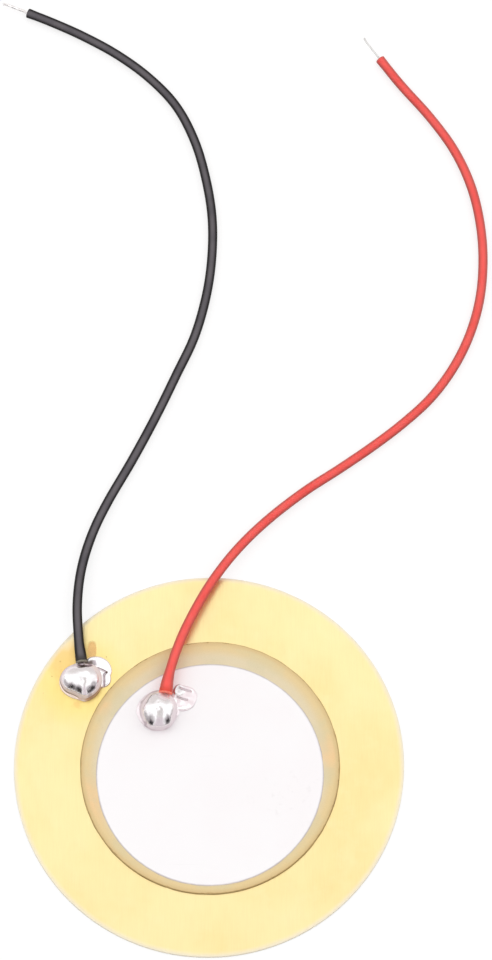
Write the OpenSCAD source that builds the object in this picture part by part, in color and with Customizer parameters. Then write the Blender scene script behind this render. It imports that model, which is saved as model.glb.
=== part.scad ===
// Piezo disc: a thin ceramic disc glued to a larger brass plate, with a silver electrode fired
// on each face of the ceramic, two solder joints and two stranded leads with bare tinned ends.
// It lies flat with the brass down. The origin is the centre of the plate's underside, +Z is up
// and the leads leave towards +Y. All sizes are in millimetres.

/* [Brass plate] */
// Diameter of the brass plate
plate_d = 35; // [32:0.5:50]
// Thickness of the brass plate
plate_t = 0.3; // [0.15:0.05:0.8]
// Rolled edge that the punch leaves on the plate's upper side
plate_edge = 0.05; // [0.01:0.01:0.1]

/* [Ceramic disc] */
// Diameter of the ceramic disc
ceramic_d = 23.2; // [20:0.2:25]
// Thickness of the ceramic disc
ceramic_t = 0.2; // [0.1:0.05:0.8]
// How far the ceramic is glued off the plate's centre, to the right
ceramic_x = 0.1; // [-0.8:0.1:0.8]
// How far the ceramic is glued off the plate's centre, towards the leads
ceramic_y = -0.3; // [-0.8:0.1:0.8]
// Thickness of the glue under the ceramic
glue_t = 0.02; // [0.01:0.01:0.1]
// Width of the glue squeezed out around the ceramic
glue_rim = 0.05; // [0.05:0.05:0.5]

/* [Electrodes] */
// Thickness of each silver electrode
electrode_t = 0.02; // [0.01:0.01:0.05]
// Bare ceramic left around the front electrode
electrode_margin = 1.4; // [0.8:0.1:3]
// How far the front electrode is printed off the ceramic's centre, towards the leads
electrode_y = -0.7; // [-0.8:0.1:0.8]

/* [Solder joints] */
// Diameter of a solder bead at its widest
bead_d = 3.7; // [3.2:0.1:4.5]
// Height of a solder bead
bead_h = 1.9; // [1.7:0.1:2.5]
// Height at which a bead is widest
bead_waist = 0.6; // [0.4:0.05:0.7]
// Radius of a bead's rounded side
bead_side_r = 0.9; // [0.8:0.05:1]
// Diameter of the wetted foot round a bead
foot_d = 4.1; // [3.8:0.1:5]
// Thickness of the wetted foot
foot_t = 0.05; // [0.02:0.01:0.1]
// Thickness of the solder that ran off beside a bead
apron_t = 0.12; // [0.06:0.02:0.3]
// Width of the run-off's sloping edge
apron_slope = 0.5; // [0.1:0.1:0.9]
// Diameter of the run-off beside the negative bead
negative_apron_d = 3; // [2:0.1:4]
// Diameter of the run-off beside the positive bead
positive_apron_d = 2.8; // [2:0.1:4]
// Bare brass between the ceramic's edge and the foot of the negative bead
negative_gap = 0.6; // [0.2:0.05:1]
// Direction of the negative bead from the ceramic's centre, in degrees
negative_angle = 145.5; // [130:0.5:160]
// Distance of the positive bead's centre in from the electrode's edge
positive_inset = 2.7; // [2.2:0.1:4]
// Direction of the positive bead from the electrode's centre, in degrees
positive_angle = 128.5; // [110:0.5:150]

/* [Leads] */
// Outside diameter of a lead's insulation
lead_d = 0.86; // [0.7:0.02:1]
// Diameter of the insulation where soldering softened and swelled its end
lead_swell_d = 1.08; // [0.9:0.02:1.3]
// Length over which the swelling fades out
lead_swell_l = 2.5; // [1:0.1:5]
// Diameter of the stranded conductor
conductor_d = 0.3; // [0.2:0.02:0.4]
// Diameter of the tinned bare end
tinned_d = 0.32; // [0.3:0.02:0.5]
// Clearance between the conductor and what it runs in
conductor_gap = 0.02; // [0.01:0.01:0.05]
// Clearance between the insulation and its seat in the solder
seat_gap = 0.02; // [0.01:0.01:0.05]

/* [Hidden] */
$fn = 96;

// Heights of the layers, from the table up.
glue_z = plate_t;
back_electrode_z = glue_z + glue_t;
ceramic_z = back_electrode_z + electrode_t;
front_electrode_z = ceramic_z + ceramic_t;
front_top_z = front_electrode_z + electrode_t;

ceramic_at = [ceramic_x, ceramic_y, 0];
electrode_at = ceramic_at + [0, electrode_y, 0];
electrode_d = ceramic_d - 2 * electrode_margin;

// The joints' places: one on the brass beside the ceramic, one on the front electrode.
negative_r = ceramic_d / 2 + negative_gap + foot_d / 2;
negative_at = ceramic_at + [0, 0, plate_t]
    + negative_r * [cos(negative_angle), sin(negative_angle), 0];
positive_r = electrode_d / 2 - positive_inset;
positive_at = electrode_at + [0, 0, front_top_z]
    + positive_r * [cos(positive_angle), sin(positive_angle), 0];

// Where the solder ran off to, from the middle of each bead.
negative_apron = [1.4, 0.8, 0];
positive_apron = [2.2, 1.4, 0];

// A bead's section is a side arc and a flatter dome arc that meet without a corner.
side_x = bead_d / 2 - bead_side_r;
dome_rise = bead_h - bead_waist - bead_side_r;
dome_reach = (side_x * side_x + dome_rise * dome_rise) / (2 * dome_rise);
dome_r = dome_reach + bead_side_r;
dome_z = bead_waist + dome_rise - dome_reach;
meet_angle = atan2(bead_waist - dome_z, side_x);
foot_angle = -asin(bead_waist / bead_side_r);
arc_steps = 10;

// A lead's route: x, y and the height of its underside over the table. The first point is the
// conductor's end in the solder, the second and the last but one are the insulation's ends,
// and the last is the bare tip.
black_route = [
    [-11.3, 7.8, 1], [-11.5, 9.2, 1], [-11.8, 11.3, 1], [-12, 14.7, 0.9], [-11.7, 18.2, 0.5],
    [-10.8, 21.6, 0.2], [-9.4, 24.8, 0.1], [-7.2, 28.9, 0], [-5.1, 33.1, 0], [-3.2, 37.3, 0],
    [-1.5, 41.2, 0], [-0.4, 45.4, 0], [0.1, 49.4, 0], [0.1, 53.4, 0], [-0.5, 57.4, 0],
    [-1.6, 61.4, 0], [-3.4, 65.1, 0], [-6, 68.1, 0], [-9.1, 70.6, 0], [-12.4, 72.6, 0],
    [-15.4, 74.1, 0], [-17.9, 75.2, 0], [-20.4, 76.3, 0]];
red_route = [
    [-4, 4.8, 1.2], [-3.8, 6.2, 1.2], [-3.5, 8.3, 1.2], [-2.5, 11.4, 1.1], [-1, 14.6, 1],
    [0.7, 17.5, 0.8], [2.8, 20.3, 0.5], [5.4, 23, 0.2], [8.7, 25.7, 0.1], [11.9, 27.9, 0],
    [15, 30.1, 0], [17.9, 32.4, 0], [20.6, 35, 0], [22.8, 38.1, 0], [24.4, 41.5, 0],
    [25.4, 45.2, 0], [25.8, 49.2, 0], [25.5, 53.1, 0], [24.7, 56.8, 0], [23.2, 60.4, 0],
    [21, 63.8, 0], [18.3, 67.2, 0], [16.3, 70, 0], [14.8, 72.1, 0]];

// Sides of a swept lead, and how many rings there are to each stretch between route points.
lead_sides = 8;
path_steps = 2;

// Points of an arc round [x, z] between two angles.
function arc(x, z, r, from, to) =
    [for (i = [0 : arc_steps])
        let (a = from + (to - from) * i / arc_steps)
        [x + r * cos(a), z + r * sin(a)]];

function unit(v) = v / norm(v);

// A smooth curve through b and c, with their neighbours a and d setting its slopes.
function blend(a, b, c, d, t) =
    (2 * b + (c - a) * t + (2 * a - 5 * b + 4 * c - d) * t * t
        + (3 * b - a - 3 * c + d) * t * t * t) / 2;

// The centre line of a lead: its route lifted by the lead's radius and smoothed.
function lead_path(route) =
    let (p = [for (q = route) q + [0, 0, lead_d / 2]], last = len(p) - 1)
    concat(
        [for (i = [0 : last - 1], s = [0 : path_steps - 1])
            blend(p[max(i - 1, 0)], p[i], p[i + 1], p[min(i + 2, last)], s / path_steps)],
        [p[last]]);

function heading(path, i) = unit(path[min(i + 1, len(path) - 1)] - path[max(i - 1, 0)]);

function ring(path, i, r) =
    let (along = heading(path, i), side = unit([-along.y, along.x, 0]), up = cross(along, side))
    [for (k = [0 : lead_sides - 1])
        let (a = (k + 0.5) * 360 / lead_sides)
        path[i] + r * (cos(a) * side + sin(a) * up)];

function rings(path, first, last, radii) =
    [for (i = [first : last]) each ring(path, i, radii[i - first])];

// Two triangles between neighbouring rings, facing out, or in for a bore.
function wall(i, k, base, outward) =
    let (
        a = base + i * lead_sides + k,
        b = base + i * lead_sides + (k + 1) % lead_sides,
        c = b + lead_sides,
        d = a + lead_sides)
    outward ? [[a, d, c], [a, c, b]] : [[a, c, d], [a, b, c]];

function walls(count, base, outward) =
    [for (i = [0 : count - 2], k = [0 : lead_sides - 1]) each wall(i, k, base, outward)];

// A flat end between an outer ring and an inner ring.
function end_ring(outer, inner, k) =
    let (n = (k + 1) % lead_sides)
    [[outer + k, outer + n, inner + n], [outer + k, inner + n, inner + k]];

function flipped(faces) = [for (f = faces) [f[2], f[1], f[0]]];

// The swollen radius at a distance from the insulation's soldered end.
function insulation_r(distance) =
    lead_d / 2 + (lead_swell_d - lead_d) / 2 * max(0, 1 - distance / lead_swell_l);

module solid_sweep(path, first, last, r) {
    count = last - first + 1;
    tail = (count - 1) * lead_sides;
    polyhedron(
        points = rings(path, first, last, [for (i = [1 : count]) r]),
        faces = concat(
            walls(count, 0, true),
            [[for (k = [0 : lead_sides - 1]) k]],
            [[for (k = [lead_sides - 1 : -1 : 0]) tail + k]]));
}

module hollow_sweep(path, first, last, radii, bore_r) {
    count = last - first + 1;
    inner = count * lead_sides;
    tail = (count - 1) * lead_sides;
    polyhedron(
        points = concat(
            rings(path, first, last, radii),
            rings(path, first, last, [for (i = [1 : count]) bore_r])),
        faces = concat(
            walls(count, 0, true),
            walls(count, inner, false),
            [for (k = [0 : lead_sides - 1]) each end_ring(0, inner, k)],
            [for (k = [0 : lead_sides - 1]) each flipped(end_ring(tail, inner + tail, k))]));
}

// Puts its children at a, with their Z axis pointing to b.
module aimed(a, b) {
    way = b - a;
    translate(a)
        rotate([0, acos(way.z / norm(way)), atan2(way.y, way.x)])
            children();
}

module bead() {
    rotate_extrude()
        polygon(concat(
            [[0, 0]],
            arc(side_x, bead_waist, bead_side_r, foot_angle, meet_angle),
            arc(0, dome_z, dome_r, meet_angle, 90)));
}

module solder_joint(place, apron, apron_d, route) {
    path = lead_path(route);
    inner_end = path[0];
    seat = path[path_steps];
    seat_r = lead_swell_d / 2 + seat_gap;
    conductor_r = conductor_d / 2 + conductor_gap;
    difference() {
        translate(place)
            union() {
                bead();
                cylinder(d = foot_d, h = foot_t);
                translate(apron)
                    cylinder(d1 = apron_d, d2 = apron_d - 2 * apron_slope, h = apron_t);
            }
        aimed(seat, 2 * seat - inner_end)
            translate([0, 0, -seat_gap]) cylinder(r = seat_r, h = bead_d);
        aimed(inner_end, seat)
            translate([0, 0, -conductor_gap])
                cylinder(r = conductor_r, h = norm(seat - inner_end) + conductor_gap);
    }
}

module insulation(route) {
    path = lead_path(route);
    first = path_steps;
    last = len(path) - 1 - path_steps;
    radii = [for (i = [first : last]) insulation_r(norm(path[i] - path[first]))];
    hollow_sweep(path, first, last, radii, conductor_d / 2 + conductor_gap);
}

// The strands as one solid. Its bare end is a true cylinder, starting clear of the insulation.
module conductor(route) {
    path = lead_path(route);
    last = len(path) - 1;
    bare = path[last - path_steps];
    solid_sweep(path, 0, last - 1, conductor_d / 2);
    aimed(bare, path[last])
        translate([0, 0, conductor_gap])
            cylinder(d = tinned_d, h = norm(path[last] - bare) - conductor_gap);
}

module brass_plate() {
    color("khaki")
        rotate_extrude()
            polygon([[0, 0], [plate_d / 2, 0], [plate_d / 2, plate_t - plate_edge],
                [plate_d / 2 - plate_edge, plate_t], [0, plate_t]]);
}

module glue_layer() {
    color("saddlebrown")
        translate(ceramic_at + [0, 0, glue_z])
            cylinder(d = ceramic_d + 2 * glue_rim, h = glue_t);
}

module back_electrode() {
    color("silver")
        translate(ceramic_at + [0, 0, back_electrode_z])
            cylinder(d = ceramic_d, h = electrode_t);
}

module ceramic_disc() {
    color("tan")
        translate(ceramic_at + [0, 0, ceramic_z])
            cylinder(d = ceramic_d, h = ceramic_t);
}

module front_electrode() {
    color("whitesmoke")
        translate(electrode_at + [0, 0, front_electrode_z])
            cylinder(d = electrode_d, h = electrode_t);
}

module negative_solder() {
    color("lightgray")
        solder_joint(negative_at, negative_apron, negative_apron_d, black_route);
}

module positive_solder() {
    color("lightgray")
        solder_joint(positive_at, positive_apron, positive_apron_d, red_route);
}

module black_insulation() {
    color("dimgray") insulation(black_route);
}

module red_insulation() {
    color("tomato") insulation(red_route);
}

module black_conductor() {
    color("gainsboro") conductor(black_route);
}

module red_conductor() {
    color("gainsboro") conductor(red_route);
}

brass_plate();
glue_layer();
back_electrode();
ceramic_disc();
front_electrode();
negative_solder();
positive_solder();
black_insulation();
red_insulation();
black_conductor();
red_conductor();
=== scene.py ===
import math
from bisect import bisect_right

import bmesh
import bpy
from mathutils import Matrix, Vector, noise


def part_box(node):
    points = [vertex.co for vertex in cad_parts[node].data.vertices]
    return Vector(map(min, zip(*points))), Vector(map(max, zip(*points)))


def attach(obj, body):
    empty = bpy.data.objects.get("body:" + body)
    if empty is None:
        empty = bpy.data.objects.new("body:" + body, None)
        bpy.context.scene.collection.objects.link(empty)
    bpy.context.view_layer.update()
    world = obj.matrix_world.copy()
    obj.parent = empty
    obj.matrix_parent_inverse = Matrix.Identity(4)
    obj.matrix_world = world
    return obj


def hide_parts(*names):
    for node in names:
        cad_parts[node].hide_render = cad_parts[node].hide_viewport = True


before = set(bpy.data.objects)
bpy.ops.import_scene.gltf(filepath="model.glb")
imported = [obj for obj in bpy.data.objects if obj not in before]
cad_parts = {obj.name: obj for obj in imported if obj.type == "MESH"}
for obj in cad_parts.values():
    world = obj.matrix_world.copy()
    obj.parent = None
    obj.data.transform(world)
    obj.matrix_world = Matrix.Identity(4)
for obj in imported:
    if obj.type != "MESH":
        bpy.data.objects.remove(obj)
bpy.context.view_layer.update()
mm = 0.001
scene = bpy.context.scene
scene.view_settings.view_transform = "Standard"
print("frame loaded:", len(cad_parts), "nodes")


# ---- camera

cameraSet = {
    "place": (0.00648, -0.07256, 0.28296),
    "aim": (0.003325, 0.027059, 0),
    "lens": 121.58,
    "sensor": 36,
    "clip": (0.01, 20),
}


def addCamera(look):
    data = bpy.data.cameras.new("camera")
    data.lens, data.sensor_width = look["lens"], look["sensor"]
    data.clip_start, data.clip_end = look["clip"]
    ahead = (Vector(look["aim"]) - Vector(look["place"])).normalized()
    right = ahead.cross(Vector((0, 1, 0))).normalized()
    turn = Matrix((right, right.cross(ahead), -ahead)).transposed().to_4x4()
    camera = bpy.data.objects.new("camera", data)
    camera.matrix_world = Matrix.Translation(look["place"]) @ turn
    scene.collection.objects.link(camera)
    scene.camera = camera


addCamera(cameraSet)
print("camera placed")


# ---- node helpers

def tone(hexCode):
    # a colour as it is picked on screen, made linear
    parts = [int(hexCode[i:i + 2], 16) / 255 for i in (1, 3, 5)]
    linear = [((p + 0.055) / 1.055) ** 2.4 if p > 0.04045 else p / 12.92 for p in parts]
    return (*linear, 1)


def setInputs(tree, node, inputs):
    # a socket is linked, anything else is set as the input's own value
    for name, value in inputs.items():
        if isinstance(value, bpy.types.NodeSocket):
            tree.links.new(value, node.inputs[name])
        else:
            node.inputs[name].default_value = value
    return node


def addNode(tree, kind, inputs=None, **settings):
    node = tree.nodes.new("ShaderNode" + kind)
    for name, value in settings.items():
        setattr(node, name, value)
    return setInputs(tree, node, inputs or {})


def calc(tree, operation, *values):
    return addNode(tree, "Math", dict(enumerate(values)), operation=operation).outputs[0]


def remap(tree, value, low, high, toLow=0, toHigh=1):
    inputs = {"Value": value, "From Min": low, "From Max": high, "To Min": toLow, "To Max": toHigh}
    return addNode(tree, "MapRange", inputs, interpolation_type="SMOOTHSTEP").outputs[0]


def times(tree, value, factor):
    return calc(tree, "MULTIPLY", value, factor)


def blendColour(tree, amount, first, second):
    return addNode(tree, "Mix", {0: amount, 6: first, 7: second}, data_type="RGBA").outputs[2]


def fromMesh(tree, name, output="Fac"):
    return addNode(tree, "Attribute", attribute_name=name).outputs[output]


def noiseAt(tree, where, scale, detail=3, rough=0.55):
    inputs = {"Vector": where, "Scale": scale, "Detail": detail, "Roughness": rough}
    return addNode(tree, "TexNoise", inputs).outputs["Fac"]


# ---- shader groups that several finishes share; their coordinates are in millimetres

def startGroup(name, inputs):
    group = bpy.data.node_groups.new(name, "ShaderNodeTree")
    for socketName, value in inputs.items():
        kind = "NodeSocketVector" if isinstance(value, tuple) else "NodeSocketFloat"
        socket = group.interface.new_socket(socketName, in_out="INPUT", socket_type=kind)
        socket.default_value = value
    group.interface.new_socket("Mask", in_out="OUTPUT", socket_type="NodeSocketFloat")
    given = group.nodes.new("NodeGroupInput").outputs
    return group, given, group.nodes.new("NodeGroupOutput").inputs


def makeMottle():
    # soft clouds between 0 and 1
    group, given, result = startGroup("softMottle", {
        "Vector": (0, 0, 0), "Scale": 1, "Low": 0.4, "High": 0.6})
    cloud = noiseAt(group, given["Vector"], given["Scale"])
    group.links.new(remap(group, cloud, given["Low"], given["High"]), result[0])
    return group


def makeStreaks():
    # fine parallel grain, drawn out by a stretch along each axis
    group, given, result = startGroup("drawnGrain", {
        "Vector": (0, 0, 0), "Stretch": (1, 1, 1), "Turn": (0, 0, 0)})
    moved = addNode(group, "Mapping", {
        "Vector": given["Vector"], "Rotation": given["Turn"], "Scale": given["Stretch"]}).outputs[0]
    group.links.new(noiseAt(group, moved, 1, 5, 0.65), result[0])
    return group


def makeScratches():
    # hairlines in three directions
    group, given, result = startGroup("hairlines", {"Vector": (0, 0, 0), "Scale": 1, "Amount": 0.3})
    cut = calc(group, "SUBTRACT", 0.82, times(group, given["Amount"], 0.2))
    lines = None
    for degrees in (18, 74, 141):
        turned = addNode(group, "Mapping", {
            "Vector": given["Vector"], "Rotation": (0, 0, math.radians(degrees)),
            "Scale": (0.12, 5, 1)}).outputs[0]
        streak = remap(group, noiseAt(group, turned, given["Scale"], 1.5), cut, 0.86)
        lines = streak if lines is None else calc(group, "MAXIMUM", lines, streak)
    group.links.new(lines, result[0])
    return group


def makeSpecks():
    # scattered dots; amount is the share of cells that hold one
    group, given, result = startGroup("specks", {
        "Vector": (0, 0, 0), "Scale": 1, "Amount": 0.2, "Size": 0.2})
    cells = addNode(group, "TexVoronoi", {"Vector": given["Vector"], "Scale": given["Scale"]})
    dot = remap(group, cells.outputs["Distance"], given["Size"], times(group, given["Size"], 0.4))
    chance = addNode(group, "SeparateColor", {"Color": cells.outputs["Color"]}).outputs[0]
    picked = calc(group, "LESS_THAN", chance, given["Amount"])
    group.links.new(times(group, dot, picked), result[0])
    return group


def flatDistance(tree, where, centre):
    apart = addNode(tree, "VectorMath", {0: where, 1: centre}, operation="SUBTRACT").outputs[0]
    level = addNode(tree, "VectorMath", {0: apart, 1: (1, 1, 0)}, operation="MULTIPLY").outputs[0]
    return addNode(tree, "VectorMath", {0: level}, operation="LENGTH").outputs["Value"]


def makePatch():
    # a ragged round patch: 1 inside, and fading to 0 at its radius
    group, given, result = startGroup("raggedPatch", {
        "Vector": (0, 0, 0), "Centre": (0, 0, 0), "Radius": 1, "Soft": 0.3, "Ragged": 0.2, "Scale": 1})
    wobble = calc(group, "SUBTRACT", noiseAt(group, given["Vector"], given["Scale"], 4, 0.6), 0.5)
    apart = calc(group, "ADD", flatDistance(group, given["Vector"], given["Centre"]),
                 times(group, wobble, times(group, given["Ragged"], 2)))
    inner = calc(group, "SUBTRACT", given["Radius"], given["Soft"])
    group.links.new(remap(group, apart, given["Radius"], inner), result[0])
    return group


groups = {"mottle": makeMottle(), "streaks": makeStreaks(), "scratches": makeScratches(),
          "specks": makeSpecks(), "patch": makePatch()}


def useGroup(tree, name, **inputs):
    node = tree.nodes.new("ShaderNodeGroup")
    node.node_tree = groups[name]
    return setInputs(tree, node, inputs).outputs[0]


def feed(tree, shader, **sockets):
    for key, value in sockets.items():
        tree.links.new(value, shader.inputs[key.replace("_", " ")])


class Finish:
    # a material in the making: its node tree, its coordinates in millimetres and its colour so far;
    # on a lead, the coordinates are the stretched-out ones that the mesh keeps
    def __init__(self, name, look, onLead=False, **plain):
        self.look, self.colour = look, tone(look["colour"])
        self.material = bpy.data.materials.new(name)
        self.material.use_nodes = True
        self.tree = self.material.node_tree
        self.shader = self.tree.nodes["Principled BSDF"]
        for key, value in plain.items():
            self.shader.inputs[key.replace("_", " ")].default_value = value
        if onLead:
            self.where = self.fromMesh("straight", "Vector")
        else:
            own = addNode(self.tree, "TexCoord").outputs["Object"]
            self.where = addNode(self.tree, "Mapping", {"Vector": own, "Scale": [1 / mm] * 3}).outputs[0]

    def times(self, value, factor):
        return times(self.tree, value, factor)

    def add(self, first, second):
        return calc(self.tree, "ADD", first, second)

    def remap(self, value, *limits):
        return remap(self.tree, value, *limits)

    def blend(self, amount, first, second):
        return blendColour(self.tree, amount, first, second)

    def fromMesh(self, name, output="Fac"):
        return fromMesh(self.tree, name, output)

    def grain(self, scale, detail, rough):
        return noiseAt(self.tree, self.where, scale, detail, rough)

    def mottle(self, scale, low, high):
        return useGroup(self.tree, "mottle", Vector=self.where, Scale=scale, Low=low, High=high)

    def streaks(self, stretch, turn=0):
        return useGroup(self.tree, "streaks", Vector=self.where, Stretch=stretch, Turn=(0, 0, turn))

    def scratches(self, scale, amount):
        return useGroup(self.tree, "scratches", Vector=self.where, Scale=scale, Amount=amount)

    def specks(self, scale, amount, size):
        return useGroup(self.tree, "specks", Vector=self.where, Scale=scale, Amount=amount, Size=size)

    def patch(self, centre, radius, soft, ragged, scale):
        return useGroup(self.tree, "patch", Vector=self.where, Centre=centre, Radius=radius, Soft=soft,
                        Ragged=ragged, Scale=scale)

    def tint(self, mask, key, share=1):
        # lays a colour of the look where the mask is, as strongly as the share says
        mask = mask if share == 1 else self.times(mask, share)
        self.colour = self.blend(mask, self.colour, tone(self.look[key]))

    def border(self, mask, key):
        # lays a colour of the look round the mask
        self.colour = self.blend(mask, tone(self.look[key]), self.colour)

    def done(self, height, depth, strength, **sockets):
        # links the colour, the other sockets and a relief that is depth millimetres high
        feed(self.tree, self.shader, Base_Color=self.colour, **sockets)
        inputs = {"Height": height, "Distance": depth * mm, "Strength": strength}
        bump = addNode(self.tree, "Bump", inputs)
        feed(self.tree, self.shader, Normal=bump.outputs[0])
        return self.material


# ---- places that several pieces share, in millimetres, read from the frame

def middle(node):
    low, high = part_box(node)
    return (low + high) / 2 / mm


def radiusOf(node):
    low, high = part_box(node)
    return (high.x - low.x) / 2 / mm


footRadius = 2.05  # of the wetted foot round each bead, whose box starts at the foot


def beadPlace(node):
    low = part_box(node)[0] / mm
    return Vector((low.x + footRadius, low.y + footRadius, low.z))


negativePlace = beadPlace("negative_solder")
positivePlace = beadPlace("positive_solder")
ceramicMiddle = middle("ceramic_disc")
electrodeMiddle = middle("front_electrode")

# the flux film: its centre from the negative bead's middle, half sizes, turn in degrees, and how
# square its outline is
fluxFilm = {
    "centre": (1.0, 2.9), "half": (0.4, 0.8), "turn": 2, "square": 5, "ragged": 0.12,
    "steps": 96, "speckSteps": 24,
}


# ---- finishes

brassLook = {
    "colour": "#F7E6AC", "warm": "#F6DFA0", "pale": "#F9E8B2", "halo": "#F5DC86", "amber": "#E9B973",
    "dirt": "#C9B58A", "rim": "#F4EEDA", "glare": "#FFF9EC", "fluxed": "#F4CE8C",
    "spot": "#B99C58", "rough": 0.36,
    # centre from the negative bead, radius, softness, raggedness, scale, colour and share
    "stains": [((0, 0), 5.2, 3.4, 0.9, 0.5, "halo", 0.75),
               ((-0.9, 1.9), 2.4, 1.1, 0.8, 1.1, "amber", 0.42),
               ((-0.3, -2.2), 0.6, 0.5, 0.5, 2, "amber", 0.4),
               ((-1.87, 1.8), 0.13, 0.16, 0.1, 2, "spot", 0.7)],
    "glareAt": (-13.6, 12.6, 0),
}


def brassFinish(look):
    skin = Finish("rolled_brass", look, Metallic=1, Roughness=look["rough"])
    grain = skin.streaks(stretch=(14, 0.5, 1), turn=0.12)
    hairs = skin.scratches(scale=1.1, amount=0.35)
    skin.tint(skin.mottle(scale=0.11, low=0.36, high=0.66), "warm")
    skin.tint(skin.mottle(scale=0.45, low=0.45, high=0.75), "pale", 0.5)
    skin.tint(skin.remap(grain, 0.35, 0.7, 0, 0.06), "dirt")
    skin.tint(skin.specks(scale=0.8, amount=0.12, size=0.07), "dirt", 0.5)
    for offset, *shape, stain, share in look["stains"]:
        skin.tint(skin.patch(negativePlace + Vector((*offset, 0)), *shape), stain, share)
    # painted highlight: a patch near the rim at the top left is paled almost to white, where the brass glares
    glare = skin.patch(look["glareAt"], radius=2.4, soft=2.2, ragged=0.6, scale=1.2)
    skin.tint(glare, "glare", 0.8)
    # the strip under the flux film is twice as long as it is wide, so its pattern is squeezed
    squeezed = addNode(skin.tree, "Mapping", {"Vector": skin.where, "Scale": (2, 1, 1)}).outputs[0]
    under = negativePlace + Vector((*fluxFilm["centre"], 0))
    skin.tint(useGroup(skin.tree, "patch", Vector=squeezed, Centre=(2 * under.x, under.y, 0), Radius=0.84,
                       Soft=0.16, Ragged=0.1, Scale=1), "fluxed")
    # painted highlight: the rim is paled towards white and made rougher and less metallic, so that it reads
    # as a lit edge
    inner = skin.patch((0, 0, 0), radius=radiusOf("brass_plate") + 0.1, soft=0.65, ragged=0.1, scale=1.5)
    skin.border(inner, "rim")
    roughness = skin.remap(grain, 0.3, 0.75, look["rough"] - 0.05, look["rough"] + 0.07)
    roughness = skin.add(roughness, skin.times(hairs, -0.08))
    roughness = skin.add(roughness, skin.remap(inner, 1, 0, 0, 0.25))
    return skin.done(calc(skin.tree, "SUBTRACT", grain, hairs), depth=0.002, strength=0.6,
                     Roughness=roughness, Metallic=skin.remap(inner, 0, 1, 0.4, 1))


silverLook = {
    "colour": "#FBFAFB", "scuff": "#E2DFE1", "blush": "#FAF7F8", "edge": "#BDB4B4", "rough": 0.55,
    "handledAt": (6.2, -2.2, 0),
}


def silverFinish(look):
    skin = Finish("fired_silver", look, Metallic=0.2, Roughness=look["rough"])
    skin.tint(skin.mottle(scale=0.16, low=0.4, high=0.7), "blush", 0.6)
    handled = skin.patch(electrodeMiddle + Vector(look["handledAt"]), radius=5, soft=4, ragged=1.5, scale=0.4)
    smudges = skin.mottle(scale=0.9, low=0.56, high=0.72)
    skin.tint(skin.times(smudges, skin.times(handled, 0.4)), "scuff")
    skin.tint(skin.scratches(scale=0.9, amount=0.3), "scuff", 0.25)
    inner = skin.patch(electrodeMiddle, radius=radiusOf("front_electrode") + 0.02, soft=0.2, ragged=0.03,
                       scale=3)
    skin.border(inner, "edge")
    wave = {"Vector": skin.where, "Scale": 1.6, "Distortion": 0.6, "Detail": 1}
    printed = addNode(skin.tree, "TexWave", wave, bands_direction="DIAGONAL").outputs["Fac"]
    grain = skin.grain(scale=9, detail=4, rough=0.7)
    return skin.done(skin.add(skin.times(printed, 0.35), grain), depth=0.004, strength=0.5,
                     Roughness=skin.remap(grain, 0.3, 0.7, look["rough"] - 0.06, look["rough"] + 0.08))


ceramicLook = {
    "colour": "#E8DAB8", "tan": "#EBD39E", "outer": "#E1C791", "orange": "#F8D29E", "olive": "#DAD2AC",
    "grey": "#DCD3C8", "edge": "#B89C68", "greyAt": (0, -10.4, 0),
    "blushes": [(6, 11.2, 2.4), (196, 11.1, 3.4), (150, 11.5, 1.4)],  # direction, distance, radius
}


def ceramicFinish(look):
    skin = Finish("fired_ceramic", look, Roughness=0.62, Specular_IOR_Level=0.3)
    radius = radiusOf("ceramic_disc")
    reach = flatDistance(skin.tree, skin.where, tuple(ceramicMiddle))
    skin.tint(skin.remap(reach, radius - 1.5, radius - 0.5), "tan")
    for degrees, far, size in look["blushes"]:
        angle = math.radians(degrees)
        spot = ceramicMiddle + far * Vector((math.cos(angle), math.sin(angle), 0))
        blush = skin.patch(spot, radius=size, soft=size, ragged=0.5, scale=0.7)
        skin.tint(blush, "orange", 0.8)
    skin.tint(skin.mottle(scale=0.32, low=0.46, high=0.64), "olive", 0.4)
    lower = skin.patch(ceramicMiddle + Vector(look["greyAt"]), radius=7, soft=6, ragged=0.8, scale=0.5)
    skin.tint(skin.times(lower, skin.remap(reach, radius - 0.55, radius - 1.1)), "grey")
    skin.tint(skin.remap(reach, radius - 0.55, radius - 0.1), "outer")
    grain = skin.grain(scale=14, detail=5, rough=0.7)
    skin.tint(skin.remap(grain, 0.35, 0.75, 0, 0.14), "edge")
    pores = skin.specks(scale=5, amount=0.1, size=0.2)
    skin.tint(pores, "edge", 0.25)
    # painted shade: the outermost band of the top is darkened into a line along the disc's edge
    insideEdgeShade = skin.patch(ceramicMiddle, radius=radius + 0.03, soft=0.16, ragged=0.04, scale=3)
    skin.border(insideEdgeShade, "edge")
    return skin.done(calc(skin.tree, "SUBTRACT", grain, pores), depth=0.006, strength=0.5)


solderLook = {
    "colour": "#F4F2F3", "dull": "#D3CED0", "bloomAndReflection": "#F0E4E8", "sootAndShade": "#5E4A44", "sootAndShadePale": "#94808A",
    "warm": "#D9B088", "rough": 0.17,
}


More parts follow.
